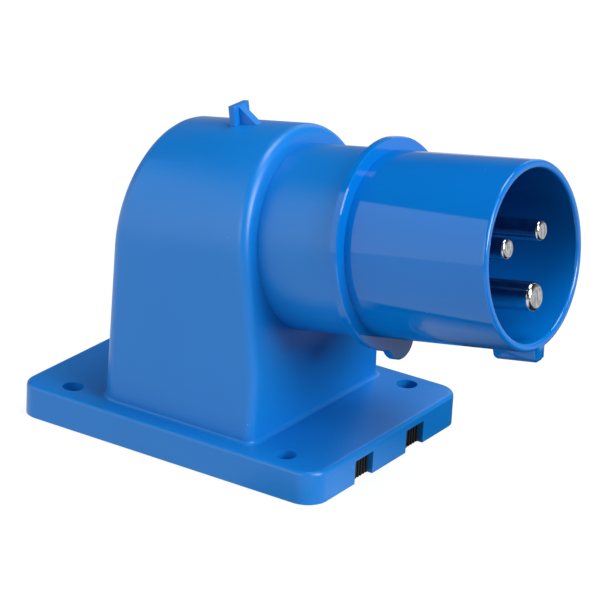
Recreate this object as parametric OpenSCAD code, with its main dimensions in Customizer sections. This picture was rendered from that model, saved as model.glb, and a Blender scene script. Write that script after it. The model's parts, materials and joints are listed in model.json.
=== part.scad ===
// Industrial pin and sleeve plug: a flange-mounted angled appliance inlet.
// Three pins stand inside a round sleeve. The sleeve plugs into the neck of a
// hollow moulded hood, which stands on a rectangular flange with four holes.
// Millimetres. The origin is the middle of the flange's underside, +Z points
// away from the wall and +X towards the open end of the sleeve.

/* [Flange] */
// Length of the flange along X
flange_l = 86.5; // [80:0.5:110]
// How far the flange reaches past each side of the hood
flange_side = 4.7; // [4:0.1:12]
// Height of the flange
flange_h = 8.2; // [7:0.1:12]
// Radius of the flange's upright corners
flange_corner_r = 5.6; // [4:0.1:8]
// Rounding of the flange's top edge
flange_edge_r = 1.1; // [0.5:0.1:2]
// Thickness of the skirt round the flange
skirt_t = 2; // [1.6:0.1:3]
// Thickness of the flange's top plate
plate_t = 2.7; // [2:0.1:4]
// Distance from the flange's ends to the middles of the fixing holes
hole_end = 12.25; // [8:0.05:16]
// Distance from the flange's sides to the middles of the fixing holes
hole_side = 6.2; // [5:0.1:9]
// Diameter of the fixing holes
hole_d = 5.3; // [4:0.1:6]
// Outside diameter of the tubes round the fixing holes
boss_d = 9; // [8:0.1:10]
// Width of each drain notch in the front skirt
notch_w = 7.8; // [4:0.1:10]
// Distance between the middles of the two drain notches
notch_dy = 22.8; // [16:0.1:28]
// Height of the drain notches
notch_h = 5.8; // [3:0.1:6.5]
// Width of the channel that holds the gasket at the front and back
channel_w = 5.2; // [4:0.1:7]
// Width of the channel between the rib and the tubes round the holes
tube_gap = 3.5; // [2:0.1:5]
// Thickness of the rib inside the gasket channel
rib_t = 1.6; // [1.2:0.1:2.4]
// Step between the hood's inside and the wider opening below it
rib_step = 0.4; // [0.2:0.1:0.6]

/* [Hood] */
// Width of the hood at its foot
hood_w = 57; // [54:0.2:60]
// Distance from the middle of the flange to the hood's front foot
hood_front = 22.1; // [20:0.1:25]
// Distance from the middle of the flange to the hood's back
hood_back = 22.2; // [20:0.1:25]
// Radius of the arch over the plug axis
arch_r = 26.9; // [25.5:0.1:28]
// Wall of the hood
hood_wall = 2.6; // [2:0.1:3.2]
// Rounding of the hood's front rim
front_rim_r = 2.4; // [1:0.1:4]
// Rounding of the hood's back rim and back corners
back_rim_r = 4.7; // [2:0.1:7]
// Fillet between the hood and the flange
foot_fillet_r = 1.4; // [0.8:0.1:2]

/* [Plug axis] */
// Height of the plug axis over the middle of the flange
axis_h = 48.5; // [46:0.1:54]
// Upward tilt of the plug axis in degrees
tilt = 9.7; // [4:0.1:14]
// Distance along the axis to the hood's front face
face_a = 17.85; // [16:0.05:20]
// Length of the neck in front of the hood
neck_l = 22.05; // [18:0.05:30]
// Outside diameter of the neck
neck_d = 44.4; // [43.6:0.1:46]
// Bore of the neck
neck_bore_d = 39.6; // [39:0.1:40.4]
// Fillet between the neck and the hood
neck_fillet_r = 1; // [0.4:0.1:1.6]

/* [Lid catch on the crest] */
// Distance along the axis to the catch's back
catch_a = 0.15; // [-4:0.05:4]
// Thickness of the catch
catch_t = 1.5; // [1:0.1:3]
// Width of the catch
catch_w = 6.4; // [4:0.1:9]
// Height of the catch over the arch
catch_h = 4.75; // [3:0.05:6]
// Width of the rib in front of the catch
catch_rib_w = 2.3; // [1:0.1:4]
// How far the rib's top stays below the catch's top
catch_step = 0.5; // [0.3:0.1:1.5]
// Length of the rib in front of the catch
catch_rib_l = 4.7; // [3:0.1:7]

/* [Sleeve] */
// Length of the sleeve in front of the neck
sleeve_l = 39.3; // [38:0.1:46]
// Outside diameter of the sleeve
sleeve_d = 44; // [43.6:0.1:45]
// Bore of the sleeve
sleeve_bore_d = 40; // [39:0.1:40.8]
// Rounding of the sleeve's rim
rim_r = 0.8; // [0.3:0.1:0.9]
// Diameter of the collar ring
collar_d = 50.3; // [48:0.1:53]
// Thickness of the collar ring
collar_t = 1.9; // [1.4:0.1:3]
// Chamfer on the collar ring's front edge
collar_edge = 0.3; // [0.1:0.1:0.6]
// Radius of the round ear under the collar ring
ear_r = 6.1; // [4:0.1:7]
// How far the ear reaches past the collar ring
ear_reach = 2.7; // [1.5:0.1:3.5]
// How far the ear sits towards the sleeve's left side
ear_shift = 0.9; // [0:0.1:2]
// Depth of the open socket inside the sleeve
socket_depth = 36.2; // [34:0.1:37]
// Opening in the sleeve's inner step
step_bore_d = 33; // [32.6:0.1:33.4]
// Wall of the spigot that enters the neck
spigot_wall = 2; // [1.6:0.1:2.4]
// Width of the key under the rim
key_w = 4.3; // [3:0.1:7]
// Height of the key over the sleeve
key_h = 3.5; // [2:0.1:5]
// Length of the key
key_l = 12.8; // [8:0.1:20]
// Rounding of the key
key_r = 1.2; // [0.6:0.1:1.4]
// Thickness of the sleeve's inner step
step_t = 5; // [3:0.1:7]
// Distance from the neck's end to the seal groove's back
groove_inset = 6; // [4:0.1:9]
// Width of the seal groove
groove_w = 2.6; // [2:0.1:3.2]
// Depth of the seal groove
groove_depth = 1.2; // [0.8:0.1:1.4]
// Length of the spigot behind the collar ring
spigot_l = 17; // [14:0.1:20]
// Width of each snap arm
snap_w = 8; // [5:0.5:10]
// How far each snap nose reaches past the neck's bore
snap_nose = 1.4; // [0.8:0.1:1.8]
// Length of each snap nose
nose_l = 3; // [2:0.1:5]

/* [Pins] */
// Radius of the circle on which the pins stand
pin_circle_r = 9; // [8.6:0.1:9.4]
// How far the pin circle sits below the plug axis
pin_drop = 0.8; // [0:0.1:1.2]
// Diameter of the line and neutral pins
line_d = 5; // [4.8:0.1:5.2]
// Diameter of the earth pin
earth_d = 7; // [6.8:0.1:7.2]
// How much thicker each pin is where the carrier holds it
root_extra = 0.6; // [0.2:0.1:1]
// How far the line and neutral pins stay behind the rim
line_recess = 2; // [1:0.1:4]
// How far the earth pin stays behind the rim
earth_recess = 0.3; // [0.2:0.1:1.2]
// Diameter of the shoulder that is trapped in the carrier
shoulder_d = 11; // [10.4:0.1:11.6]
// Length of the shoulder
shoulder_l = 4; // [3:0.1:5]
// Diameter of each terminal barrel
barrel_d = 9; // [8.4:0.1:9.6]
// Length of each terminal barrel behind the cover
barrel_l = 15; // [14:0.1:17]
// Bore for the wire
wire_d = 5; // [4.4:0.1:5.4]
// Depth of solid metal in front of the wire's bore
bore_floor = 2; // [1:0.1:4]
// Thickness of the wire guards
guard_t = 0.6; // [0.4:0.1:0.8]
// Width of the wire guards
guard_w = 2.6; // [2:0.1:3]
// How far the wire guards stop short of the bore's floor
guard_end = 1; // [0.5:0.1:3]
// Distance from a contact's axis to the outer face of its wire guard
guard_seat = 1.95; // [1.6:0.05:2]

/* [Carrier] */
// Length of the carrier behind the inner step
carrier_l = 12; // [11:0.1:13]
// Thickness of the cover behind the carrier
cover_t = 3; // [2:0.1:4]
// Thickness of the barriers between the terminals
barrier_t = 1.6; // [1.2:0.1:2]
// Length of the barriers behind the cover
barrier_l = 13; // [6:0.1:14]
// How far the barriers reach from the middle of the pin circle
barrier_r = 9.5; // [7:0.1:9.8]
// Sideways place of the cover screws
cover_screw_y = 11.3; // [11:0.1:11.8]
// Height of the cover screws below the plug axis
cover_screw_drop = 7.3; // [7:0.1:7.6]

/* [Screws] */
// Thread diameter of the clamp screws
clamp_d = 3.5; // [3:0.1:3.8]
// Head diameter of the clamp screws
clamp_head_d = 5.6; // [5:0.1:5.8]
// Height of the clamp screws' heads
clamp_head_h = 2.1; // [1.4:0.1:2.3]
// Distance from a barrel's end to its rear clamp screw
clamp_inset = 5.6; // [4:0.1:7]
// Distance between the two clamp screws of a terminal
clamp_pitch = 6.4; // [6.2:0.1:6.8]
// Thread diameter of the cover screws
cover_screw_d = 3; // [2.5:0.1:3.2]
// Head diameter of the cover screws
cover_head_d = 5.5; // [4.6:0.1:5.6]

/* [Fits] */
// Side clearance where one piece slides into another
fit = 0.3; // [0.2:0.05:0.4]
// Side clearance of the seal ring, the screws and the pins
close_fit = 0.1; // [0.05:0.01:0.15]

/* [Hidden] */
$fn = 96;

housing_colour = [0.10, 0.46, 0.84];
sleeve_colour = [0.02, 0.40, 0.80];
carrier_colour = [0.05, 0.20, 0.52];
rubber_colour = [0.10, 0.10, 0.11];
nickel_colour = [0.78, 0.77, 0.74];
steel_colour = [0.55, 0.57, 0.60];

// Cuts run this far past the faces that they open
over = 1;

// Places along the plug axis, counted from the point over the flange's middle
neck_end = face_a + neck_l;
rim_a = neck_end + sleeve_l;
face_inner = face_a - hood_wall;
step_front = rim_a - socket_depth;
step_back = step_front - step_t;
carrier_back = step_back - carrier_l;
cover_back = carrier_back - cover_t;
barrel_back = cover_back - barrel_l;
spigot_back = neck_end - spigot_l;
groove_a = neck_end - groove_inset;
clamp_mid = barrel_back + clamp_inset;

// Radii
neck_bore_r = neck_bore_d / 2;
spigot_r = neck_bore_r - fit;
spigot_bore_r = spigot_r - spigot_wall;
carrier_r = spigot_bore_r - fit;
sleeve_r = sleeve_d / 2;

// Hood
ceiling_z = flange_h - plate_t;
root = 1;
foot_z = flange_h - root;
tilt_slope = tan(tilt);
fillet_sink = 0.2;
neck_sink = 0.1;
// Keeps the bend above the hood's front foot out of the plane of its front face
bend_sink = 0.05;
// Turns the seam of the ring away from the hood's corners
seam_turn = 7;
side_flare = (hood_w / 2 - arch_r) / (axis_h - foot_z);
bend_a = face_a - bend_sink;
bend_v = (bend_a * cos(tilt) - hood_front) / sin(tilt);
bend_z = axis_h + bend_a * sin(tilt) + bend_v * cos(tilt);

// Flange, its holes and its gasket channel
flange_w = hood_w + 2 * flange_side;
hole_dx = flange_l - 2 * hole_end;
hole_dy = flange_w - 2 * hole_side;
skirt_in_x = flange_l / 2 - skirt_t;
skirt_in_y = flange_w / 2 - skirt_t;
rib_x = skirt_in_x - channel_w;
rib_y = hood_w / 2 - hood_wall + rib_step + rib_t;
rib_arm_x = hole_dx / 2 - boss_d / 2 - tube_gap;
rib_arm_y = hole_dy / 2 - boss_d / 2 - tube_gap;

// Pins: angle round the pin circle, counted from +Y towards the crest
line_angle = 30;
neutral_angle = 150;
earth_angle = 270;

// A solid laid along the plug axis: its own z runs towards the rim
module on_axis(a = 0)
    translate([0, 0, axis_h]) rotate([0, -tilt, 0])
        translate([a, 0, 0]) rotate([0, 90, 0]) children();

// A frame at a place on the axis: x along the axis, y across, z towards the crest
module plug_frame(a = 0)
    translate([0, 0, axis_h]) rotate([0, -tilt, 0]) translate([a, 0, 0]) children();

// The same frame moved to a pin, with its z turned outwards from the pin circle
module pin_frame(angle, a = 0)
    plug_frame(a)
        translate([0, pin_circle_r * cos(angle), pin_circle_r * sin(angle) - pin_drop])
            rotate([angle - 90, 0, 0]) children();

// Cylinder along x
module rod(d, l) rotate([0, 90, 0]) cylinder(d = d, h = l);

function arc(cx, cy, r, from, to, n = 8) =
    [for (i = [0:n]) let (t = from + (to - from) * i / n) [cx + r * cos(t), cy + r * sin(t)]];

// Corner points of a rectangle with round corners
function soft_rect(x0, y0, x1, y1, r) = concat(
    arc(x0 + r, y0 + r, r, 180, 270), arc(x1 - r, y0 + r, r, 270, 360),
    arc(x1 - r, y1 - r, r, 0, 90), arc(x0 + r, y1 - r, r, 90, 180));

// Outline of a rectangle with round corners
module round_rect(l, w, r) {
    square([l - 2 * r, w], center = true);
    square([l, w - 2 * r], center = true);
    for (x = [-1, 1], y = [-1, 1])
        translate([x * (l / 2 - r), y * (w / 2 - r)]) circle(r);
}

// Upright section with rounded upper corners
module crowned(w, h, edge) {
    translate([-w / 2, 0]) square([w, h - edge]);
    translate([edge - w / 2, 0]) square([w - 2 * edge, h]);
    for (x = [-1, 1]) translate([x * (w / 2 - edge), h - edge]) circle(edge);
}

// Block with round upright corners and a rounded top edge
module rounded_block(l, w, h, corner, edge) {
    rotate([90, 0, 0]) linear_extrude(w - 2 * corner, center = true) crowned(l, h, edge);
    rotate([90, 0, 90]) linear_extrude(l - 2 * corner, center = true) crowned(w, h, edge);
    for (x = [-1, 1], y = [-1, 1]) translate([x * (l / 2 - corner), y * (w / 2 - corner), 0])
        rotate_extrude() intersection() {
            crowned(2 * corner, h, edge);
            square([corner, h]);
        }
}

// The four places of the fixing holes
module at_holes()
    for (x = [-1, 1], y = [-1, 1]) translate([x * hole_dx / 2, y * hole_dy / 2, 0]) children();

// Cross-shaped outline of the rib inside the gasket channel, grown by a margin
module rib_outline(grow) {
    square([2 * (rib_x + grow), 2 * (rib_arm_y + grow)], center = true);
    square([2 * (rib_arm_x + grow), 2 * (rib_y + grow)], center = true);
}

module flange_underside() {
    translate([0, 0, -over]) linear_extrude(ceiling_z + over) {
        difference() {
            round_rect(2 * skirt_in_x, 2 * skirt_in_y, flange_corner_r - skirt_t);
            rib_outline(0);
            at_holes() circle(d = boss_d);
        }
        rib_outline(-rib_t);
    }
}

module drain_notches()
    for (y = [-1, 1])
        translate([skirt_in_x - over / 2, y * notch_dy / 2 - notch_w / 2, -over])
            cube([skirt_t + over, notch_w, notch_h + over]);

// Disc with a rounded front edge, its front face at z = 0
module rounded_disc(r, edge)
    rotate_extrude()
        polygon(concat([[0, 0]], arc(r - edge, -edge, edge, 90, 0, 6), [[0, -edge]]));

// Outer skin of the hood: the arch round the plug axis, drawn down to the foot
module hood_skin()
    hull() {
        on_axis(face_a) rounded_disc(arch_r, front_rim_r);
        translate([-hood_back, 0, axis_h + (back_rim_r - hood_back) * tilt_slope])
            rotate([0, -90, 0]) scale([1 / cos(tilt), 1, 1]) rounded_disc(arch_r, back_rim_r);
        for (y = [-1, 1]) {
            translate([hood_front - front_rim_r, y * (hood_w / 2 - front_rim_r), foot_z])
                cylinder(r = front_rim_r, h = root, $fn = 32);
            translate([hood_front - front_rim_r,
                    y * (hood_w / 2 - front_rim_r - side_flare * (bend_z - foot_z)), bend_z - root])
                cylinder(r = front_rim_r, h = root, $fn = 32);
            translate([back_rim_r - hood_back, y * (hood_w / 2 - back_rim_r), foot_z])
                cylinder(r = back_rim_r, h = root, $fn = 32);
        }
    }

// Room inside the hood, open to the wider opening in the flange
module hood_room() {
    room_r = arch_r - hood_wall;
    deep = axis_h + hood_front;
    intersection() {
        on_axis(-2 * hood_back) linear_extrude(4 * hood_back) {
            circle(room_r);
            polygon([[0, room_r], [0, -room_r], [deep, -room_r - side_flare * deep],
                [deep, room_r + side_flare * deep]]);
        }
        rotate([90, 0, 0]) linear_extrude(hood_w, center = true)
            polygon([
                [hood_front - hood_wall, ceiling_z - over],
                [hood_front - hood_wall, bend_z - hood_wall * tilt_slope],
                [face_inner * cos(tilt) - arch_r * sin(tilt),
                    axis_h + face_inner * sin(tilt) + arch_r * cos(tilt)],
                [hood_wall - hood_back, axis_h + arch_r],
                [hood_wall - hood_back, ceiling_z - over]]);
    }
}

// Concave fillet section: its corner at the origin, its legs along x and y.
// Sunk into an upright wall that leans or has facets, it meets that wall cleanly.
module fillet_section(r, sink = 0)
    translate([-sink, 0]) difference() {
        translate([-r / 4, -r / 4]) square(r * 5 / 4);
        translate([r, r]) circle(r);
    }

module foot_section() fillet_section(foot_fillet_r, fillet_sink);

// Fillet round the foot of the hood
module foot_fillet() {
    front_x = hood_front - front_rim_r;
    back_x = back_rim_r - hood_back;
    front_y = hood_w / 2 - front_rim_r;
    back_y = hood_w / 2 - back_rim_r;
    translate([0, 0, flange_h]) {
        for (y = [-1, 1]) {
            translate([back_x, y * hood_w / 2, 0]) rotate([90, 0, 90])
                linear_extrude(front_x - back_x) mirror([y < 0 ? 1 : 0, 0]) foot_section();
            translate([front_x, y * front_y, 0]) rotate([0, 0, y > 0 ? 0 : -90])
                rotate_extrude(angle = 90) translate([front_rim_r, 0]) foot_section();
            translate([back_x, y * back_y, 0]) rotate([0, 0, y > 0 ? 90 : 180])
                rotate_extrude(angle = 90) translate([back_rim_r, 0]) foot_section();
        }
        translate([hood_front, front_y, 0]) rotate([90, 0, 0])
            linear_extrude(2 * front_y) foot_section();
        translate([-hood_back, -back_y, 0]) rotate([90, 0, 180])
            linear_extrude(2 * back_y) foot_section();
    }
}

// Catch for the lid of the mating connector, with a rib that ramps up to it
module lid_catch() {
    base = arch_r - root;
    top = arch_r + catch_h;
    rib_top = top - catch_step;
    front = catch_a + catch_t;
    slope = catch_rib_l / (rib_top - arch_r);
    plug_frame() {
        translate([catch_a, -catch_w / 2, base]) cube([catch_t, catch_w, top - base]);
        rotate([90, 0, 0]) linear_extrude(catch_rib_w, center = true)
            polygon([[front - over / 2, base], [front + catch_rib_l + root * slope, base],
                [front, rib_top], [front - over / 2, rib_top]]);
    }
}

module housing() color(housing_colour)
    difference() {
        union() {
            rounded_block(flange_l, flange_w, flange_h, flange_corner_r, flange_edge_r);
            hood_skin();
            foot_fillet();
            on_axis(face_a - root) cylinder(d = neck_d, h = neck_l + root);
            on_axis(face_a - neck_sink) rotate([0, 0, seam_turn]) rotate_extrude()
                translate([neck_d / 2, 0]) fillet_section(neck_fillet_r);
            lid_catch();
        }
        hood_room();
        flange_underside();
        drain_notches();
        at_holes() translate([0, 0, -over]) cylinder(d = hole_d, h = flange_h + 2 * over);
        on_axis(face_inner - over) cylinder(r = neck_bore_r, h = neck_l + hood_wall + 2 * over);
    }

// Rubber frame in the channel under the flange
module flange_gasket() color(rubber_colour)
    linear_extrude(ceiling_z) difference() {
        round_rect(2 * (skirt_in_x - fit), 2 * (skirt_in_y - fit), flange_corner_r - skirt_t - fit);
        rib_outline(fit);
        at_holes() circle(d = boss_d + 2 * fit);
    }

// Section of the sleeve from rim to spigot, as distance from the axis and place along it
module sleeve_section() {
    bore_r = sleeve_bore_d / 2;
    polygon(concat(
        arc(bore_r + rim_r, rim_a - rim_r, rim_r, 180, 90),
        arc(sleeve_r - rim_r, rim_a - rim_r, rim_r, 90, 0),
        [[sleeve_r, neck_end + collar_t], [collar_d / 2 - collar_edge, neck_end + collar_t],
            [collar_d / 2, neck_end + collar_t - collar_edge], [collar_d / 2, neck_end],
            [spigot_r, neck_end], [spigot_r, spigot_back],
            [spigot_bore_r, spigot_back], [spigot_bore_r, step_back],
            [step_bore_d / 2, step_back], [step_bore_d / 2, step_front],
            [bore_r, step_front]]));
}

// Snap arms behind the spigot, their noses behind the hood's front wall
module snap_arms() {
    nose_r = neck_bore_r + snap_nose;
    seat = face_inner - close_fit;
    end = seat - nose_l;
    intersection() {
        on_axis() rotate_extrude()
            polygon([[spigot_bore_r, spigot_back + over], [spigot_r, spigot_back + over],
                [spigot_r, seat], [nose_r, seat], [nose_r, seat - nose_l / 3],
                [spigot_r, end], [spigot_bore_r, end]]);
        plug_frame(end) translate([0, -2 * spigot_r, -snap_w / 2])
            cube([spigot_back + over - end, 4 * spigot_r, snap_w]);
    }
}

// Round ear of the collar ring, on the side away from the crest
module ear()
    on_axis(neck_end) intersection() {
        translate([collar_d / 2 + ear_reach - ear_r, -ear_shift, 0]) rotate_extrude()
            polygon([[0, 0], [ear_r, 0], [ear_r, collar_t - collar_edge],
                [ear_r - collar_edge, collar_t], [0, collar_t]]);
        translate([sleeve_bore_d / 2, -2 * ear_r, -over])
            cube([2 * ear_r, 4 * ear_r, collar_t + 2 * over]);
    }

module key() {
    bottom = sleeve_r + key_h;
    side = key_w / 2;
    plug_frame(rim_a - key_l) translate([0, 0, -bottom]) difference() {
        intersection() {
            linear_extrude(bottom) polygon(soft_rect(0, -side, key_l, side, key_r));
            rotate([90, 0, 0]) linear_extrude(2 * key_w, center = true)
                polygon(soft_rect(0, 0, key_l, bottom, key_r));
            rotate([90, 0, 90]) translate([0, 0, -over]) linear_extrude(key_l + 2 * over)
                polygon(soft_rect(-side, 0, side, bottom, key_r));
        }
        translate([-over, 0, bottom]) rod(sleeve_bore_d + 2 * rim_r, key_l + 2 * over);
    }
}

module sleeve() color(sleeve_colour)
    difference() {
        union() {
            on_axis() rotate_extrude() sleeve_section();
            snap_arms();
            ear();
            key();
        }
        on_axis(groove_a) difference() {
            cylinder(r = spigot_r + over, h = groove_w);
            translate([0, 0, -over]) cylinder(r = spigot_r - groove_depth, h = groove_w + 2 * over);
        }
    }

// Square-section rubber ring in the spigot's groove
module sleeve_seal() color(rubber_colour)
    on_axis(groove_a + close_fit) difference() {
        cylinder(r = neck_bore_r - close_fit, h = groove_w - 2 * close_fit);
        translate([0, 0, -over])
            cylinder(r = spigot_r - groove_depth + close_fit, h = groove_w + 2 * over);
    }

module at_pins() for (angle = [line_angle, neutral_angle, earth_angle]) pin_frame(angle) children();

module at_cover_screws(a)
    for (y = [-1, 1]) plug_frame(a) translate([0, y * cover_screw_y, -cover_screw_drop]) children();

// Insulating block that holds the pins
module pin_carrier() color(carrier_colour) {
    through = step_front - carrier_back + over;
    difference() {
        union() {
            on_axis(carrier_back) cylinder(r = carrier_r, h = carrier_l);
            on_axis(step_back - over) cylinder(d = step_bore_d - 2 * fit, h = step_t + over);
        }
        for (angle = [line_angle, neutral_angle])
            pin_frame(angle, carrier_back) rod(line_d + root_extra + 2 * close_fit, through);
        pin_frame(earth_angle, carrier_back) rod(earth_d + root_extra + 2 * close_fit, through);
        at_pins() translate([carrier_back - over, 0, 0]) rod(shoulder_d + 2 * fit, shoulder_l + over);
        at_cover_screws(carrier_back - over) rod(cover_screw_d + 2 * close_fit, carrier_l - 3 + over);
    }
}

// Plate that traps the pins, with three barriers between the terminals
module carrier_cover() color(carrier_colour)
    difference() {
        union() {
            on_axis(cover_back) cylinder(r = carrier_r, h = cover_t);
            for (angle = [line_angle, neutral_angle, earth_angle])
                plug_frame(cover_back - barrier_l) translate([0, 0, -pin_drop])
                    rotate([angle + 60, 0, 0]) translate([0, 0, -barrier_t / 2])
                        cube([barrier_l + over, barrier_r, barrier_t]);
        }
        at_pins() translate([cover_back - over, 0, 0]) rod(barrel_d + 2 * fit, cover_t + 2 * over);
        at_cover_screws(cover_back - over) rod(cover_screw_d + 2 * close_fit, cover_t + 2 * over);
    }

// Pan head with a cross recess, its seat at x = 0 and its thread towards +x
module pan_screw(d, l, head_d, head_h) {
    rod(d, l);
    difference() {
        rotate([0, -90, 0]) rotate_extrude()
            polygon(concat([[0, 0], [head_d / 2, 0]],
                arc(head_d / 2 - head_h / 2, head_h / 2, head_h / 2, 0, 90, 6), [[0, head_h]]));
        for (t = [0, 90]) rotate([t, 0, 0])
            translate([-head_h - over, -0.4, -head_d / 3.2]) cube([over + head_h * 0.6, 0.8, head_d / 1.6]);
    }
}

module cover_screw(y) color(steel_colour)
    plug_frame(cover_back) translate([0, y * cover_screw_y, -cover_screw_drop])
        pan_screw(cover_screw_d, cover_t + carrier_l - 4, cover_head_d, 1.9);

// One contact: a round-tipped pin, a trapped shoulder and a bored terminal barrel
module contact(d, tip_a, angle) color(nickel_colour) {
    tip_r = d * 0.18;
    shoulder_front = carrier_back + shoulder_l;
    difference() {
        pin_frame(angle) rotate([0, 90, 0]) rotate_extrude()
            polygon(concat([[0, tip_a]], arc(d / 2 - tip_r, tip_a - tip_r, tip_r, 90, 0, 6),
                [[d / 2, step_front], [(d + root_extra) / 2, step_front],
                    [(d + root_extra) / 2, shoulder_front], [shoulder_d / 2, shoulder_front],
                    [shoulder_d / 2, carrier_back], [barrel_d / 2, carrier_back],
                    [barrel_d / 2, barrel_back], [0, barrel_back]]));
        pin_frame(angle, barrel_back - over) rod(wire_d, barrel_l - bore_floor + over);
        for (a = [0, clamp_pitch])
            pin_frame(angle, clamp_mid + a) cylinder(d = clamp_d + 2 * close_fit, h = barrel_d);
    }
}

// Clamp screw of a terminal: a is 0 for the rear one, clamp_pitch for the front one
module clamp_screw(angle, a) color(steel_colour)
    pin_frame(angle, clamp_mid + a) translate([0, 0, barrel_d / 2 + fit])
        rotate([0, 90, 0]) pan_screw(clamp_d, barrel_d / 2 + fit - guard_seat, clamp_head_d, clamp_head_h);

// Leaf between the clamp screws and the wire, hooked over the barrel's end
module wire_guard(angle) color(nickel_colour)
    pin_frame(angle, barrel_back) {
        translate([-guard_t, -guard_w / 2, guard_seat - guard_t])
            cube([barrel_l - bore_floor - guard_end, guard_w, guard_t]);
        translate([-guard_t, -guard_w / 2, guard_seat - guard_t])
            cube([guard_t, guard_w, barrel_d / 2 - guard_seat + guard_t]);
    }

housing();
flange_gasket();
sleeve();
sleeve_seal();
pin_carrier();
carrier_cover();
cover_screw(-1);  // cover_screw_left
cover_screw(1);  // cover_screw_right
contact(line_d, rim_a - line_recess, line_angle);  // line_pin
contact(line_d, rim_a - line_recess, neutral_angle);  // neutral_pin
contact(earth_d, rim_a - earth_recess, earth_angle);  // earth_pin
clamp_screw(line_angle, clamp_pitch);  // line_clamp_screw_front
clamp_screw(line_angle, 0);  // line_clamp_screw_rear
clamp_screw(neutral_angle, clamp_pitch);  // neutral_clamp_screw_front
clamp_screw(neutral_angle, 0);  // neutral_clamp_screw_rear
clamp_screw(earth_angle, clamp_pitch);  // earth_clamp_screw_front
clamp_screw(earth_angle, 0);  // earth_clamp_screw_rear
wire_guard(line_angle);  // line_wire_guard
wire_guard(neutral_angle);  // neutral_wire_guard
wire_guard(earth_angle);  // earth_wire_guard
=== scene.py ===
import bpy
import bmesh
import json
import math
from mathutils import Matrix, Vector


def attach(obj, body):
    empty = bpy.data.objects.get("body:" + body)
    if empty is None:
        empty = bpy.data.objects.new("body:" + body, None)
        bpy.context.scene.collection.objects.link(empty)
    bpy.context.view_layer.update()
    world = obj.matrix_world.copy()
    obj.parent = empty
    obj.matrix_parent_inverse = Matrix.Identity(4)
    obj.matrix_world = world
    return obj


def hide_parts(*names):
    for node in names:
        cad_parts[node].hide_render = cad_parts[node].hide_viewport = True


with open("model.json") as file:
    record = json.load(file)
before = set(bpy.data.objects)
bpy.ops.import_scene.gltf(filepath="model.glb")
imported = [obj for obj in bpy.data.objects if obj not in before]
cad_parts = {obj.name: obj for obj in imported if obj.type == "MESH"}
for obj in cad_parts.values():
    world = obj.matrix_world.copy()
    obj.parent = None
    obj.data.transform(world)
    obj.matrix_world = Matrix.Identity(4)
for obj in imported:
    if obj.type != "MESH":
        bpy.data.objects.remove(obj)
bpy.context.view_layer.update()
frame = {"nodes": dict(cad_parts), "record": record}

# The plug's axis, which leaves the hood tilted upwards. Sizes and places are in metres
AXIS_HEIGHT = 0.0485
TILT = math.radians(9.7)
ALONG = Vector((math.cos(TILT), 0.0, math.sin(TILT)))
CREST = Vector((-math.sin(TILT), 0.0, math.cos(TILT)))
AXIS_POINT = Vector((0.0, 0.0, AXIS_HEIGHT))

# Places along the axis and distances from it, the same as in the part's source
HOOD_FACE = 0.01785
RIM = 0.0792
NECK_RADIUS = 0.0222
NECK_FILLET = 0.001
SLEEVE_RADIUS = 0.022
SLEEVE_BORE = 0.020

# Key under the sleeve's rim: its back end, half its width, its reach from the axis, its rounding
KEY_BACK = 0.0664
KEY_SIDE = 0.00215
KEY_BOTTOM = 0.0255
KEY_ROUND = 0.0019

# Two drain notches in the front skirt, with a ribbed tab of the gasket in each. A tab starts a
# little behind the gasket's front, and its ribs are a little shorter than its plate
NOTCHES = 2
NOTCH_Y = 0.0114
GASKET_FRONT = 0.04095
TAB_SINK = 0.001
TAB_FRONT = 0.04215
TAB_SIDE = 0.00375
TAB_FOOT = 0.0002
TAB_TOP = 0.0056
RIB_COUNT = 6
RIB_DEPTH = 0.0003
RIB_WIDTH = 0.00055
RIB_STEP = 0.0012
RIB_SHORTER = 0.0002

# Limits for mesh work: corners that count as one, the slack of a test of place, and the angles
# in degrees from which an edge stays sharp
SAME_CORNER = 1e-6
SLACK = 0.0001
SHARP_ANGLE = 28.0
SLEEVE_SHARP_ANGLE = 40.0

# Plastic colours in linear light
MOULDED_BLUE = (0.002, 0.185, 0.610, 1.0)
SLEEVE_BLUE = (0.001, 0.160, 0.570, 1.0)
CARRIER_BLUE = (0.004, 0.085, 0.340, 1.0)
DUST = (0.22, 0.45, 0.80, 1.0)
PLASTIC_IOR = 1.5

# Settings of a Mapping node that change nothing
NO_SHIFT = (0.0, 0.0, 0.0)
NO_TURN = (0.0, 0.0, 0.0)
NO_STRETCH = (1.0, 1.0, 1.0)

# Sockets of the colour form of the Mix node
MIX_AMOUNT, MIX_FIRST, MIX_SECOND, MIX_RESULT = 0, 6, 7, 2


# Helpers for objects

def linked(name, data):
    """A new object with the given data, in the scene."""
    thing = bpy.data.objects.new(name, data)
    bpy.context.scene.collection.objects.link(thing)
    return thing


def plain_mesh(thing):
    """The mesh of an object with its modifiers applied."""
    return bpy.data.meshes.new_from_object(thing.evaluated_get(bpy.context.evaluated_depsgraph_get()))


# Helpers for shader nodes

def empty_material(name):
    material = bpy.data.materials.new(name)
    material.use_nodes = True
    tree = material.node_tree
    tree.nodes.clear()
    output = tree.nodes.new("ShaderNodeOutputMaterial")
    return material, tree, output


def new_material(name):
    material, tree, output = empty_material(name)
    shader = tree.nodes.new("ShaderNodeBsdfPrincipled")
    tree.links.new(shader.outputs["BSDF"], output.inputs["Surface"])
    return material, tree, shader


def object_coordinates(tree):
    return tree.nodes.new("ShaderNodeTexCoord").outputs["Object"]


def mapped(tree, source, kind="POINT", location=NO_SHIFT, rotation=NO_TURN, scale=NO_STRETCH):
    """Coordinates that are moved, turned and stretched."""
    node = tree.nodes.new("ShaderNodeMapping")
    node.vector_type = kind
    node.inputs["Location"].default_value = location
    node.inputs["Rotation"].default_value = rotation
    node.inputs["Scale"].default_value = scale
    tree.links.new(source, node.inputs["Vector"])
    return node.outputs["Vector"]


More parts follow.
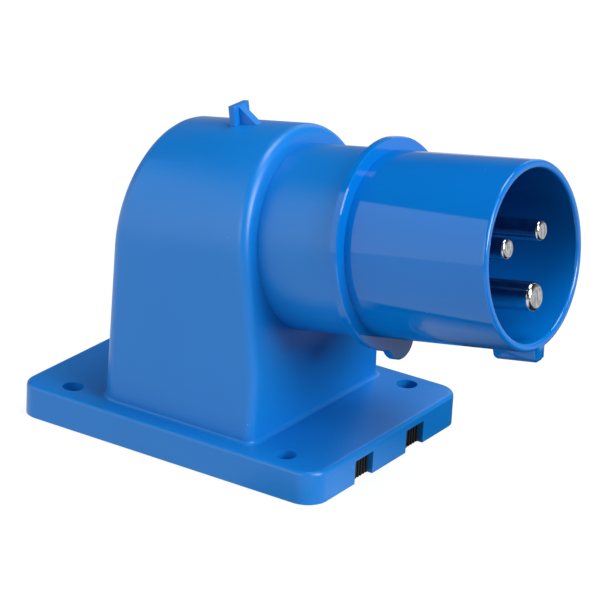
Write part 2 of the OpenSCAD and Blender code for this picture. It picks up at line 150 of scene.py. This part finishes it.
def parted(tree, source):
    """The X, Y and Z sockets of a vector."""
    node = tree.nodes.new("ShaderNodeSeparateXYZ")
    tree.links.new(source, node.inputs["Vector"])
    return node.outputs


def noise(tree, source, scale, detail=2.0, roughness=0.5):
    node = tree.nodes.new("ShaderNodeTexNoise")
    node.inputs["Scale"].default_value = scale
    node.inputs["Detail"].default_value = detail
    node.inputs["Roughness"].default_value = roughness
    tree.links.new(source, node.inputs["Vector"])
    return node.outputs["Fac"]


def ranged(tree, value, low, high, start=0.0, end=1.0):
    """Low where the value is at the start or below, high where it is at the end or above."""
    node = tree.nodes.new("ShaderNodeMapRange")
    node.inputs["From Min"].default_value = start
    node.inputs["From Max"].default_value = end
    node.inputs["To Min"].default_value = low
    node.inputs["To Max"].default_value = high
    tree.links.new(value, node.inputs["Value"])
    return node.outputs["Result"]


def combined(tree, operation, first, *others):
    """The values joined one after another by a Math operation."""
    result = first
    for value in others:
        node = tree.nodes.new("ShaderNodeMath")
        node.operation = operation
        tree.links.new(result, node.inputs[0])
        tree.links.new(value, node.inputs[1])
        result = node.outputs["Value"]
    return result


def vector_math(tree, operation, source, constant=None):
    node = tree.nodes.new("ShaderNodeVectorMath")
    node.operation = operation
    tree.links.new(source, node.inputs[0])
    if constant is not None:
        node.inputs[1].default_value = constant
    return node.outputs


def tinted(tree, value, dark, light):
    """A colour that changes softly from dark to light, with no kink at its ends."""
    ramp = tree.nodes.new("ShaderNodeValToRGB")
    ramp.color_ramp.interpolation = "EASE"
    ramp.color_ramp.elements[0].position = 0.2
    ramp.color_ramp.elements[0].color = dark
    ramp.color_ramp.elements[1].position = 0.8
    ramp.color_ramp.elements[1].color = light
    tree.links.new(value, ramp.inputs["Fac"])
    return ramp.outputs["Color"]


def mixed(tree, amount, first, second):
    """Two colours mixed; the second may be a constant."""
    node = tree.nodes.new("ShaderNodeMix")
    node.data_type = "RGBA"
    tree.links.new(amount, node.inputs[MIX_AMOUNT])
    tree.links.new(first, node.inputs[MIX_FIRST])
    if isinstance(second, tuple):
        node.inputs[MIX_SECOND].default_value = second
    else:
        tree.links.new(second, node.inputs[MIX_SECOND])
    return node.outputs[MIX_RESULT]


def bumped(tree, shader, height, strength, distance, under=None):
    node = tree.nodes.new("ShaderNodeBump")
    node.inputs["Strength"].default_value = strength
    node.inputs["Distance"].default_value = distance
    tree.links.new(height, node.inputs["Height"])
    if under is not None:
        tree.links.new(under, node.inputs["Normal"])
    tree.links.new(node.outputs["Normal"], shader.inputs["Normal"])
    return node.outputs["Normal"]


def shade(colour, factor):
    return tuple(min(1.0, c * factor) for c in colour[:3]) + (1.0,)


# Plastic finishes

def dusted(tree, place, colour, cells, size):
    """The given colour with a few small pale specks of dust, at most one in each cell."""
    spots = tree.nodes.new("ShaderNodeTexVoronoi")
    spots.inputs["Scale"].default_value = cells
    tree.links.new(place, spots.inputs["Vector"])
    chance = tree.nodes.new("ShaderNodeSeparateColor")
    tree.links.new(spots.outputs["Color"], chance.inputs["Color"])
    reach = size * cells
    speck = ranged(tree, spots.outputs["Distance"], 0.55, 0.0, start=0.4 * reach, end=reach)
    picked = ranged(tree, chance.outputs["Red"], 0.0, 1.0, start=0.45, end=0.50)
    return mixed(tree, combined(tree, "MULTIPLY", speck, picked), colour, DUST)


def satin_moulding(name, colour, gloss=0.34):
    """Spark-eroded moulded plastic: a fine grain, and a slow change of gloss where the melt flowed."""
    material, tree, shader = new_material(name)
    place = object_coordinates(tree)
    flow = noise(tree, place, scale=38.0, detail=3.0)
    grain = noise(tree, place, scale=5200.0, roughness=0.6)
    colours = tinted(tree, flow, shade(colour, 0.97), shade(colour, 1.03))
    tree.links.new(dusted(tree, place, colours, cells=130.0, size=0.00022), shader.inputs["Base Color"])
    tree.links.new(ranged(tree, flow, gloss - 0.04, gloss + 0.04), shader.inputs["Roughness"])
    bumped(tree, shader, grain, strength=0.10, distance=0.00006)
    shader.inputs["IOR"].default_value = PLASTIC_IOR
    return material


def painted_bore_shade(tree, place, colour, bore, low_colour, high_colour):
    """Within the given radius of the plug axis, painted shade: lighter at the bottom, deeper towards the
    top.
    """
    turned = mapped(tree, place, kind="TEXTURE", location=AXIS_POINT, rotation=(0.0, -TILT, 0.0))
    flat = vector_math(tree, "MULTIPLY", turned, (0.0, 1.0, 1.0))["Vector"]
    radius = vector_math(tree, "LENGTH", flat)["Value"]
    within = ranged(tree, radius, 1.0, 0.0, start=bore + SLACK, end=bore + 3.0 * SLACK)
    rise = ranged(tree, parted(tree, turned)["Z"], 0.0, 1.0, start=-bore - SLACK, end=(bore + SLACK) / 2.0)
    return mixed(tree, within, colour, tinted(tree, rise, low_colour, high_colour))


def sleeve_moulding(name, colour):
    """Polished moulded plastic: faint sink waves, a few specks of dust, and painted shade in the bore.

    The real moulding has one colour. The paint deepens the shade in the bore.
    """
    material, tree, shader = new_material(name)
    place = object_coordinates(tree)
    waves = noise(tree, place, scale=55.0, detail=1.0)
    specks = ranged(tree, noise(tree, place, scale=900.0, detail=1.0), 0.0, 1.0, start=0.80, end=0.84)
    outside = tinted(tree, waves, shade(colour, 0.985), shade(colour, 1.015))
    # Painted shade in the bore: the colour is lighter at its bottom and darker towards its top
    colours = painted_bore_shade(tree, place, outside, SLEEVE_BORE, shade(colour, 1.06), shade(colour, 0.60))
    tree.links.new(dusted(tree, place, colours, cells=160.0, size=0.00018), shader.inputs["Base Color"])
    tree.links.new(ranged(tree, specks, 0.06, 0.35), shader.inputs["Roughness"])
    wavy = bumped(tree, shader, waves, strength=0.06, distance=0.0003)
    bumped(tree, shader, specks, strength=0.2, distance=0.00003, under=wavy)
    shader.inputs["IOR"].default_value = PLASTIC_IOR
    return material


# Rubber and metal finishes

def soft_rubber(name):
    """Black moulded rubber with a matt grain and a faint uneven bloom."""
    material, tree, shader = new_material(name)
    place = object_coordinates(tree)
    bloom = noise(tree, place, scale=260.0, detail=4.0, roughness=0.6)
    grain = noise(tree, place, scale=3200.0)
    colours = tinted(tree, bloom, (0.004, 0.004, 0.005, 1.0), (0.010, 0.010, 0.011, 1.0))
    tree.links.new(colours, shader.inputs["Base Color"])
    tree.links.new(ranged(tree, bloom, 0.55, 0.75), shader.inputs["Roughness"])
    bumped(tree, shader, grain, strength=0.35, distance=0.0001)
    shader.inputs["Specular IOR Level"].default_value = 0.35
    return material


def turning_rings(tree, place):
    """Fine rings round the plug axis, as a turning tool leaves them."""
    rings = tree.nodes.new("ShaderNodeTexWave")
    rings.bands_direction = "X"
    rings.inputs["Scale"].default_value = 2600.0
    rings.inputs["Distortion"].default_value = 1.5
    rings.inputs["Detail"].default_value = 2.0
    tree.links.new(place, rings.inputs["Vector"])
    return rings.outputs["Fac"]


def plated_contact(name):
    """Turned brass under bright nickel: fine rings round the pin, and on its end marks of scraping mixed
    with painted streaks of reflection.
    """
    material, tree, shader = new_material(name)
    place = object_coordinates(tree)
    turned = mapped(tree, place, rotation=(0.0, TILT, 0.0))
    haze = noise(tree, place, scale=420.0, detail=3.0)
    shaft = tinted(tree, haze, (0.60, 0.61, 0.62, 1.0), (0.78, 0.79, 0.81, 1.0))
    stretched = mapped(tree, turned, scale=(200.0, 1500.0, 500.0))
    marks = noise(tree, stretched, scale=1.0, detail=3.0, roughness=0.6)
    # On the pin's end: marks of scraping, mixed with painted streaks of reflection
    scraped_and_glint = tinted(tree, marks, (0.32, 0.32, 0.33, 1.0), (0.86, 0.87, 0.90, 1.0))
    # The pin's end is found by the direction that its face looks in
    normal = tree.nodes.new("ShaderNodeTexCoord").outputs["Normal"]
    outward = vector_math(tree, "DOT_PRODUCT", normal, ALONG)["Value"]
    on_end = ranged(tree, outward, 0.0, 1.0, start=0.93, end=0.99)
    tree.links.new(mixed(tree, on_end, shaft, scraped_and_glint), shader.inputs["Base Color"])
    tree.links.new(ranged(tree, haze, 0.10, 0.20), shader.inputs["Roughness"])
    bumped(tree, shader, turning_rings(tree, turned), strength=0.05, distance=0.00003)
    shader.inputs["Metallic"].default_value = 1.0
    return material


def zinc_steel(name):
    """Zinc-plated steel: a cloudy grey with fine pits."""
    material, tree, shader = new_material(name)
    place = object_coordinates(tree)
    cloud = noise(tree, place, scale=700.0, detail=4.0, roughness=0.6)
    pits = noise(tree, place, scale=2600.0)
    colours = tinted(tree, cloud, (0.30, 0.31, 0.34, 1.0), (0.50, 0.51, 0.53, 1.0))
    tree.links.new(colours, shader.inputs["Base Color"])
    tree.links.new(ranged(tree, cloud, 0.22, 0.38), shader.inputs["Roughness"])
    bumped(tree, shader, pits, strength=0.10, distance=0.00004)
    shader.inputs["Metallic"].default_value = 1.0
    return material


def spring_leaf(name):
    """Rolled spring strip, brushed along the plug axis."""
    material, tree, shader = new_material(name)
    along = mapped(tree, object_coordinates(tree), rotation=(0.0, TILT, 0.0), scale=(120.0, 4200.0, 4200.0))
    brushed = noise(tree, along, scale=1.0)
    colours = tinted(tree, brushed, (0.48, 0.47, 0.44, 1.0), (0.62, 0.60, 0.56, 1.0))
    tree.links.new(colours, shader.inputs["Base Color"])
    tree.links.new(ranged(tree, brushed, 0.20, 0.34), shader.inputs["Roughness"])
    bumped(tree, shader, brushed, strength=0.12, distance=0.00003)
    shader.inputs["Metallic"].default_value = 1.0
    return material


housing_plastic = satin_moulding("housing_plastic", MOULDED_BLUE)
sleeve_plastic = sleeve_moulding("sleeve_plastic", SLEEVE_BLUE)
carrier_plastic = satin_moulding("carrier_plastic", CARRIER_BLUE, gloss=0.42)
gasket_rubber = soft_rubber("gasket_rubber")
contact_plating = plated_contact("contact_plating")
screw_steel = zinc_steel("screw_steel")
guard_steel = spring_leaf("guard_steel")

FINISHES = {
    "housing": housing_plastic, "sleeve": sleeve_plastic, "carrier": carrier_plastic,
    "gasket": gasket_rubber, "seal": gasket_rubber, "contacts": contact_plating,
    "screws": screw_steel, "wire_guards": guard_steel,
}
SLOT_OF = {piece["node"]: piece["material_slot"] for piece in frame["record"]["subparts"]}


def finish_of(node):
    return FINISHES[SLOT_OF[node]]


for node, solid in frame["nodes"].items():
    solid.data.materials.clear()
    solid.data.materials.append(finish_of(node))


# Pieces that take the place of CAD nodes. The wire guards are flat leaves and stay as they are

def merged_copy(node, name, reshape=None):
    """A copy of a CAD node's mesh with its triangles joined, and reshaped where asked."""
    mesh = frame["nodes"][node].data.copy()
    mesh.name = name
    form = bmesh.new()
    form.from_mesh(mesh)
    bmesh.ops.remove_doubles(form, verts=form.verts, dist=SAME_CORNER)
    if reshape is not None:
        reshape(form)
    form.to_mesh(mesh)
    form.free()
    if mesh.has_custom_normals:
        mesh.attributes.remove(mesh.attributes["custom_normal"])
    return mesh


def stand_in(node, mesh, sharp_angle):
    """The visible piece for a CAD node, with its round faces shaded smooth."""
    for face in mesh.polygons:
        face.use_smooth = True
    mesh.set_sharp_from_angle(angle=math.radians(sharp_angle))
    mesh.materials.clear()
    mesh.materials.append(finish_of(node))
    piece = linked(node + "_skin", mesh)
    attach(piece, "root")
    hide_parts(node)


def axis_place(point):
    """A place as its distances along the plug axis, to the side and towards the crest."""
    place = point - AXIS_POINT
    return Vector((place.dot(ALONG), place.y, place.dot(CREST)))


def plug_place(local):
    """The place of the given distances along the plug axis, to the side and towards the crest."""
    place = AXIS_POINT + ALONG * local.x + CREST * local.z
    place.y = local.y
    return place


def round_the_key(form):
    """Draw the corners of the key under the sleeve in to the full rounding of a moulded rib."""
    core_low = Vector((KEY_BACK + KEY_ROUND, -KEY_SIDE + KEY_ROUND, -KEY_BOTTOM + KEY_ROUND))
    core_high = Vector((RIM - KEY_ROUND, KEY_SIDE - KEY_ROUND, 0.0))
    for corner in form.verts:
        local = axis_place(corner.co)
        on_key = local.x >= KEY_BACK - SLACK and abs(local.y) <= KEY_SIDE + SLACK
        if not on_key or local.z > -SLEEVE_RADIUS + 2.0 * SLACK:
            continue
        core = Vector([min(max(local[i], core_low[i]), core_high[i]) for i in range(3)])
        out = local - core
        if out.length > KEY_ROUND:
            corner.co = plug_place(core + out * (KEY_ROUND / out.length))


def crisp_neck_root(form):
    """Press the small fillet at the neck's root back to a corner."""
    for corner in form.verts:
        local = axis_place(corner.co)
        along = local.x - HOOD_FACE
        radius = math.hypot(local.y, local.z)
        out = radius - NECK_RADIUS
        if -SLACK < along < NECK_FILLET + SLACK and 0.1 * SLACK < out < NECK_FILLET + SLACK:
            inward = NECK_RADIUS / radius
            corner.co = plug_place(Vector((HOOD_FACE, local.y * inward, local.z * inward)))
    bmesh.ops.remove_doubles(form, verts=form.verts, dist=SAME_CORNER)


RESHAPED = {"sleeve": round_the_key, "housing": crisp_neck_root}
for node in frame["nodes"]:
    if node != "flange_gasket" and not node.endswith("wire_guard"):
        skin = merged_copy(node, node + "_skin", RESHAPED.get(node))
        stand_in(node, skin, SLEEVE_SHARP_ANGLE if node == "sleeve" else SHARP_ANGLE)


# Gasket with its ribbed tabs

TAB_INPUTS = {
    "Plate Size": "NodeSocketVector", "Plate Centre": "NodeSocketVector",
    "Rib Size": "NodeSocketVector", "Rib Count": "NodeSocketInt",
    "First Rib": "NodeSocketVector", "Rib Step": "NodeSocketVector",
    "Tab Count": "NodeSocketInt", "First Tab": "NodeSocketVector", "Tab Step": "NodeSocketVector",
    "Material": "NodeSocketMaterial",
}


def box(tree, size):
    cube = tree.nodes.new("GeometryNodeMeshCube")
    tree.links.new(size, cube.inputs["Size"])
    return cube.outputs["Mesh"]


def moved(tree, piece, place):
    shift = tree.nodes.new("GeometryNodeTransform")
    tree.links.new(piece, shift.inputs["Geometry"])
    tree.links.new(place, shift.inputs["Translation"])
    return shift.outputs["Geometry"]


def in_a_row(tree, piece, count, start, step):
    """The piece repeated along a straight row."""
    row = tree.nodes.new("GeometryNodeMeshLine")
    tree.links.new(count, row.inputs["Count"])
    tree.links.new(start, row.inputs["Start Location"])
    tree.links.new(step, row.inputs["Offset"])
    repeat = tree.nodes.new("GeometryNodeInstanceOnPoints")
    tree.links.new(row.outputs["Mesh"], repeat.inputs["Points"])
    tree.links.new(piece, repeat.inputs["Instance"])
    return repeat.outputs["Instances"]


def ribbed_tabs_tree():
    """A plate with a row of upright ribs on it, repeated along a row of tabs."""
    tree = bpy.data.node_groups.new("ribbed_tabs", "GeometryNodeTree")
    sockets = {name: tree.interface.new_socket(name, in_out="INPUT", socket_type=kind).identifier
               for name, kind in TAB_INPUTS.items()}
    tree.interface.new_socket("Geometry", in_out="OUTPUT", socket_type="NodeSocketGeometry")
    given = tree.nodes.new("NodeGroupInput").outputs
    plate = moved(tree, box(tree, given["Plate Size"]), given["Plate Centre"])
    rib = box(tree, given["Rib Size"])
    ribs = in_a_row(tree, rib, given["Rib Count"], given["First Rib"], given["Rib Step"])
    tab = tree.nodes.new("GeometryNodeJoinGeometry")
    tree.links.new(plate, tab.inputs["Geometry"])
    tree.links.new(ribs, tab.inputs["Geometry"])
    both = in_a_row(tree, tab.outputs["Geometry"], given["Tab Count"], given["First Tab"], given["Tab Step"])
    real = tree.nodes.new("GeometryNodeRealizeInstances")
    tree.links.new(both, real.inputs["Geometry"])
    painted = tree.nodes.new("GeometryNodeSetMaterial")
    tree.links.new(real.outputs["Geometry"], painted.inputs["Geometry"])
    tree.links.new(given["Material"], painted.inputs["Material"])
    output = tree.nodes.new("NodeGroupOutput")
    tree.links.new(painted.outputs["Geometry"], output.inputs["Geometry"])
    return tree, sockets


def ribbed_tabs():
    """The tabs of both drain notches, sunk into the gasket's front."""
    tree, sockets = ribbed_tabs_tree()
    plate_front = TAB_FRONT - RIB_DEPTH
    plate_depth = plate_front - GASKET_FRONT + TAB_SINK
    tab_height = TAB_TOP - TAB_FOOT
    tab_middle = (TAB_TOP + TAB_FOOT) / 2
    settings = {
        "Plate Size": (plate_depth, 2 * TAB_SIDE, tab_height),
        "Plate Centre": (plate_front - plate_depth / 2, 0.0, tab_middle),
        "Rib Size": (2 * RIB_DEPTH, RIB_WIDTH, tab_height - RIB_SHORTER),
        "Rib Count": RIB_COUNT,
        "First Rib": (plate_front, -RIB_STEP * (RIB_COUNT - 1) / 2, tab_middle),
        "Rib Step": (0.0, RIB_STEP, 0.0),
        "Tab Count": NOTCHES,
        "First Tab": (0.0, -NOTCH_Y, 0.0),
        "Tab Step": (0.0, 2 * NOTCH_Y, 0.0),
        "Material": gasket_rubber,
    }
    tabs = linked("gasket_tabs", bpy.data.meshes.new("gasket_tabs"))
    repeat = tabs.modifiers.new("ribbed_tabs", "NODES")
    repeat.node_group = tree
    for name, value in settings.items():
        repeat[sockets[name]] = value
    shape = plain_mesh(tabs)
    tabs.modifiers.clear()
    tabs.data = shape
    return tabs


def gasket_with_tabs():
    """The gasket joined with the two ribbed tabs that stand in the drain notches of the front skirt."""
    tabs = ribbed_tabs()
    body = linked("gasket_body", merged_copy("flange_gasket", "gasket_body"))
    union = body.modifiers.new("tabs", "BOOLEAN")
    union.operation = "UNION"
    union.solver = "EXACT"
    union.use_self = True
    union.object = tabs
    whole = plain_mesh(body)
    whole.name = "flange_gasket_skin"
    bpy.data.objects.remove(body)
    bpy.data.objects.remove(tabs)
    return whole


stand_in("flange_gasket", gasket_with_tabs(), SHARP_ANGLE)


# Stage: the camera sees a white floor and a white room, and the plug's shadow on the floor is too
# faint to show. Glossy faces see a grey room, darker overhead, and a floor that is lit on the left
# and far to the right, with a dim strip and a shadow of the sleeve between. That light and shade
# is set to give the photograph's reflections, and no lamp casts it

FLOOR_Z = -0.0002
FLOOR_HALF = 3.0
FLOOR_SEEN = 0.92
FLOOR_MATT = (0.12, 0.12, 0.12, 1.0)
WHITE = (1.0, 1.0, 1.0, 1.0)

# Azimuths in degrees: of the floor's lit side, and square to the edge of the sleeve's shadow
LIT_SIDE = -118.0
SHADOW_SIDE = -71.2


def blended(tree, factor, first, second):
    mix = tree.nodes.new("ShaderNodeMixShader")
    tree.links.new(factor, mix.inputs["Fac"])
    tree.links.new(first, mix.inputs[1])
    tree.links.new(second, mix.inputs[2])
    return mix.outputs["Shader"]


def shining(tree, kind, strength):
    """An Emission or Background node in white; the strength is a number or a socket."""
    node = tree.nodes.new(kind)
    node.inputs["Color"].default_value = WHITE
    if isinstance(strength, float):
        node.inputs["Strength"].default_value = strength
    else:
        tree.links.new(strength, node.inputs["Strength"])
    return node.outputs[0]


def glow(tree, strength):
    return shining(tree, "ShaderNodeEmission", strength)


def room(tree, strength):
    return shining(tree, "ShaderNodeBackground", strength)


def by_ray(tree, seen, mirrored, scattered):
    """One shader for camera and transmission rays, one for glossy rays and one for the rest."""
    rays = tree.nodes.new("ShaderNodeLightPath").outputs
    straight = combined(tree, "MAXIMUM", rays["Is Camera Ray"], rays["Is Transmission Ray"])
    reflected = blended(tree, rays["Is Glossy Ray"], scattered, mirrored)
    return blended(tree, straight, reflected, seen)


def floor_distance(tree, azimuth):
    """Distance over the floor from the plug's foot towards the given azimuth."""
    rotation = (0.0, 0.0, math.radians(azimuth))
    return parted(tree, mapped(tree, object_coordinates(tree), kind="TEXTURE", rotation=rotation))["X"]


def floor_light(tree, left, strip, right, far, shadow=None):
    """Painted glow of the floor: left of the plug and far to the right, with a dim strip between."""
    across = floor_distance(tree, LIT_SIDE)
    near = ranged(tree, across, strip, left, start=-0.04, end=0.0)
    if shadow is not None:
        near = combined(tree, "MULTIPLY", near, shadow)
    beyond = ranged(tree, across, right, 0.0, start=-far - 0.02, end=-far)
    return glow(tree, combined(tree, "ADD", near, beyond))


def sleeve_shadow(tree):
    """Where glossy faces see the floor lit: 0 in a shadow drawn for the sleeve and hood, 1 outside it."""
    outward = floor_distance(tree, SHADOW_SIDE)
    ahead = floor_distance(tree, 0.0)
    left = ranged(tree, outward, 0.0, 1.0, start=0.0515, end=0.0540)
    past_flange = ranged(tree, ahead, 0.0, 1.0, start=0.038, end=0.045)
    past_edge = ranged(tree, outward, 1.0, 0.0, start=0.034, end=0.050)
    front = combined(tree, "MULTIPLY", past_flange, past_edge)
    back = ranged(tree, ahead, 1.0, 0.0, start=0.018, end=0.028)
    return combined(tree, "MAXIMUM", left, front, back)


def floor_material(name):
    """White to the camera, and a painted glow, bright in parts, to glossy faces and to scattered light."""
    material, tree, output = empty_material(name)
    matt = tree.nodes.new("ShaderNodeBsdfDiffuse")
    matt.inputs["Color"].default_value = FLOOR_MATT
    seen = tree.nodes.new("ShaderNodeAddShader")
    tree.links.new(glow(tree, FLOOR_SEEN), seen.inputs[0])
    tree.links.new(matt.outputs["BSDF"], seen.inputs[1])
    mirrored = floor_light(tree, left=0.85, strip=0.03, right=0.62, far=0.135, shadow=sleeve_shadow(tree))
    scattered = floor_light(tree, left=0.78, strip=0.0, right=0.30, far=0.125)
    tree.links.new(by_ray(tree, seen.outputs["Shader"], mirrored, scattered), output.inputs["Surface"])
    return material


def floor_piece():
    corners = [(-FLOOR_HALF, -FLOOR_HALF, FLOOR_Z), (FLOOR_HALF, -FLOOR_HALF, FLOOR_Z),
               (FLOOR_HALF, FLOOR_HALF, FLOOR_Z), (-FLOOR_HALF, FLOOR_HALF, FLOOR_Z)]
    mesh = bpy.data.meshes.new("floor")
    mesh.from_pydata(corners, [], [(0, 1, 2, 3)])
    mesh.materials.append(floor_material("floor_white"))
    return linked("floor", mesh)


floor_piece()


# Lamps: soft panels round the point that they face

MIDDLE = Vector((0.02, 0.0, 0.045))


def panel(name, azimuth, elevation, distance, width, height, radiance, aside=0.0, upright=False):
    """A soft rectangular lamp, placed by its direction from the plug, that faces the plug."""
    azimuth, elevation = math.radians(azimuth), math.radians(elevation)
    flat = Vector((math.cos(azimuth), math.sin(azimuth), 0.0))
    side = Vector((-flat.y, flat.x, 0.0))
    centre = MIDDLE + (flat * math.cos(elevation) + Vector((0.0, 0.0, math.sin(elevation)))) * distance
    facing = flat if upright else centre - MIDDLE
    lamp = bpy.data.lights.new(name, "AREA")
    lamp.shape = "RECTANGLE"
    lamp.size, lamp.size_y = width, height
    lamp.energy = radiance * math.pi * width * height
    holder = linked(name, lamp)
    holder.location = centre + side * aside
    holder.rotation_mode = "QUATERNION"
    holder.rotation_quaternion = (-facing).to_track_quat("-Z", "Y")


panel("left_panel", azimuth=-148.0, elevation=25.8, distance=0.995, width=1.5, height=0.884,
      radiance=1.13, aside=0.24, upright=True)
panel("key_panel", azimuth=-10.0, elevation=38.0, distance=1.0, width=0.5, height=0.5, radiance=5.6)
panel("front_panel", azimuth=0.0, elevation=20.0, distance=1.0, width=0.34, height=0.30, radiance=17.6)
panel("top_panel", azimuth=60.0, elevation=75.0, distance=1.0, width=0.5, height=0.5, radiance=7.0)
panel("back_panel", azimuth=100.0, elevation=25.0, distance=1.0, width=0.5, height=0.5, radiance=1.0)
panel("side_panel", azimuth=-95.0, elevation=20.0, distance=1.0, width=0.5, height=0.5, radiance=2.5)


# Room: white to the camera, grey low down and nearly dark overhead to glossy faces, and almost
# dark to the rest

ROOM_SEEN = 1.0
ROOM_SCATTERED = 0.02


def studio_world(name):
    world = bpy.data.worlds.new(name)
    world.use_nodes = True
    tree = world.node_tree
    tree.nodes.clear()
    direction = tree.nodes.new("ShaderNodeTexCoord").outputs["Generated"]
    grey_wall = ranged(tree, parted(tree, direction)["Z"], 0.24, 0.03, start=0.12, end=0.5)
    output = tree.nodes.new("ShaderNodeOutputWorld")
    walls = by_ray(tree, room(tree, ROOM_SEEN), room(tree, grey_wall), room(tree, ROOM_SCATTERED))
    tree.links.new(walls, output.inputs["Surface"])
    return world


bpy.context.scene.world = studio_world("studio")


# Camera at the photograph's viewing angle: its place, its own right, up and back directions, and
# its focal length and picture width in pixels

CAMERA_PLACE = Vector((0.402828, -0.612381, 0.324201))
RIGHT = Vector((0.833605, 0.550173, 0.049120))
UP = Vector((-0.242639, 0.284844, 0.927357))
BACK = Vector((0.496215, -0.784967, 0.370941))
FOCAL_PIXELS = 3260.378
PICTURE_PIXELS = 600.0
SENSOR_MM = 36.0

camera_data = bpy.data.cameras.new("camera")
camera_data.sensor_width = SENSOR_MM
camera_data.lens = SENSOR_MM * FOCAL_PIXELS / PICTURE_PIXELS
camera_data.clip_start = 0.01
camera_data.clip_end = 20.0
camera = linked("camera", camera_data)
camera.matrix_world = Matrix.Translation(CAMERA_PLACE) @ Matrix((RIGHT, UP, BACK)).transposed().to_4x4()
bpy.context.scene.camera = camera

bpy.context.scene.view_settings.view_transform = "Standard"

bpy.context.view_layer.update()
